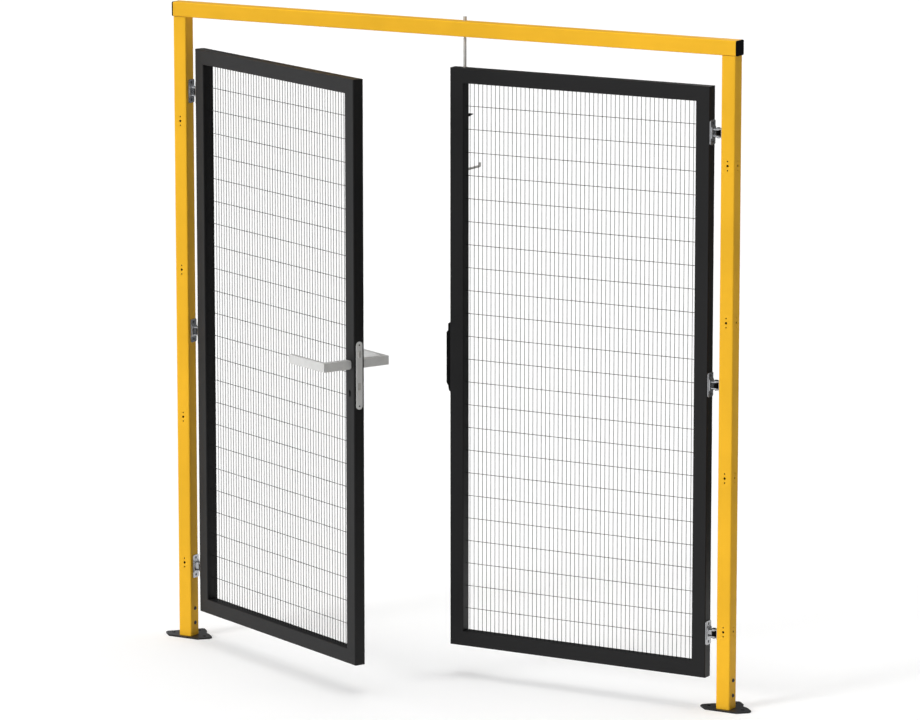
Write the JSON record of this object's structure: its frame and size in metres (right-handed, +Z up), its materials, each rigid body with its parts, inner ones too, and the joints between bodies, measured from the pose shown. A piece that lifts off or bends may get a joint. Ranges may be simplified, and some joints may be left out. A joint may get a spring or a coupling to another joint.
{
  "type": "wire mesh partition with double door",
  "caption": "Machine-guard doorway: square-tube posts and beam, two hinged wire mesh leaves, lever lock, strike box and shoot bolt.",
  "frame": {"origin": "on the floor, midway between the posts, on the line through the two outer anchor holes and the posts' centres", "axes": "+X along the beam to the right leaf's side, +Y from the side the leaves open to towards the back, +Z up"},
  "size_m": [2.26, 0.6463, 2.223],
  "materials": {
    "yellow_paint": "smooth satin powder coat",
    "leaf_paint": "fine-textured satin powder coat",
    "wire_coating": "satin powder coat over round wire",
    "foot_coating": "satin powder coat",
    "hinge_steel": "nickel plating, slightly shiny",
    "zinc_steel": "bright zinc plating",
    "blackened_steel": "black oxide",
    "handle_aluminium": "satin anodised",
    "black_plastic": "matt moulded"
  },
  "bodies": {
    "frame": {"left_foot": "foot_coating", "right_foot": "foot_coating", "foot_screws": "blackened_steel", "left_post": "yellow_paint", "right_post": "yellow_paint", "top_beam": "yellow_paint", "left_beam_cap": "black_plastic", "right_beam_cap": "black_plastic", "head_plugs": "blackened_steel", "beam_bolts": "zinc_steel", "bolt_keeper": "zinc_steel", "left_post_brackets": "hinge_steel", "right_post_brackets": "hinge_steel", "left_hinge_pins": "blackened_steel", "right_hinge_pins": "blackened_steel", "left_post_bracket_screws": "blackened_steel", "right_post_bracket_screws": "blackened_steel"},
    "left_leaf": {"left_hinge_stile": "leaf_paint", "left_lock_stile": "leaf_paint", "left_top_rail": "leaf_paint", "left_bottom_rail": "leaf_paint", "left_upright_wires": "wire_coating", "left_cross_wires": "wire_coating", "left_leaf_brackets": "hinge_steel", "left_hinge_bushes": "black_plastic", "left_leaf_bracket_screws": "blackened_steel", "lock_case": "blackened_steel", "lock_forend": "handle_aluminium", "forend_screws": "blackened_steel", "handle_spring": "zinc_steel"},
    "right_leaf": {"right_hinge_stile": "leaf_paint", "right_meeting_stile": "leaf_paint", "right_top_rail": "leaf_paint", "right_bottom_rail": "leaf_paint", "right_upright_wires": "wire_coating", "right_cross_wires": "wire_coating", "right_leaf_brackets": "hinge_steel", "right_hinge_bushes": "black_plastic", "right_leaf_bracket_screws": "blackened_steel", "strike_box": "black_plastic", "strike_screws": "zinc_steel", "rod_guides": "black_plastic", "rod_bush": "zinc_steel", "rod_stay": "black_plastic", "rod_stay_screws": "blackened_steel"},
    "handle": {"lock_follower": "zinc_steel", "handle_spindle": "zinc_steel", "front_handle": "handle_aluminium", "back_handle": "handle_aluminium", "handle_grub_screws": "blackened_steel"},
    "latch": {"latch_bolt": "zinc_steel"},
    "dead_bolt": {"dead_bolt": "zinc_steel"},
    "rod": {"shoot_rod": "zinc_steel", "rod_handle": "zinc_steel"}
  },
  "joints": [
    {"name": "left_leaf_swing", "type": "hinge", "parent": "frame", "child": "left_leaf", "pos_m": [-0.992, 0.005, 1.0775], "axis": [0, 0, -1], "range_deg": [-25.5, 64.5]},
    {"name": "right_leaf_swing", "type": "hinge", "parent": "frame", "child": "right_leaf", "pos_m": [0.992, 0.005, 1.0775], "axis": [0, 0, 1], "range_deg": [0, 90]},
    {"name": "handle_turn", "type": "hinge", "parent": "left_leaf", "child": "handle", "pos_m": [-0.12732, -0.40743, 1.112], "axis": [-0.4305, -0.9026, 0], "range_deg": [0, 40], "stiffness_Nm_per_rad": 1.5, "springref_deg": -45.84, "deforming": ["handle_spring"]},
    {"name": "latch_slide", "type": "slide", "parent": "left_leaf", "child": "latch", "axis": [-0.9026, 0.4305, 0], "range_m": [0, 0.005]},
    {"name": "dead_bolt_slide", "type": "slide", "parent": "left_leaf", "child": "dead_bolt", "axis": [0.9026, -0.4305, 0], "range_m": [0, 0.012]},
    {"name": "rod_slide", "type": "slide", "parent": "right_leaf", "child": "rod", "axis": [0, 0, 1], "range_m": [0, 0.065]}
  ],
  "couplings": [
    {"joint": "latch_slide", "follows": "handle_turn", "m_per_rad": 0.00716}
  ]
}
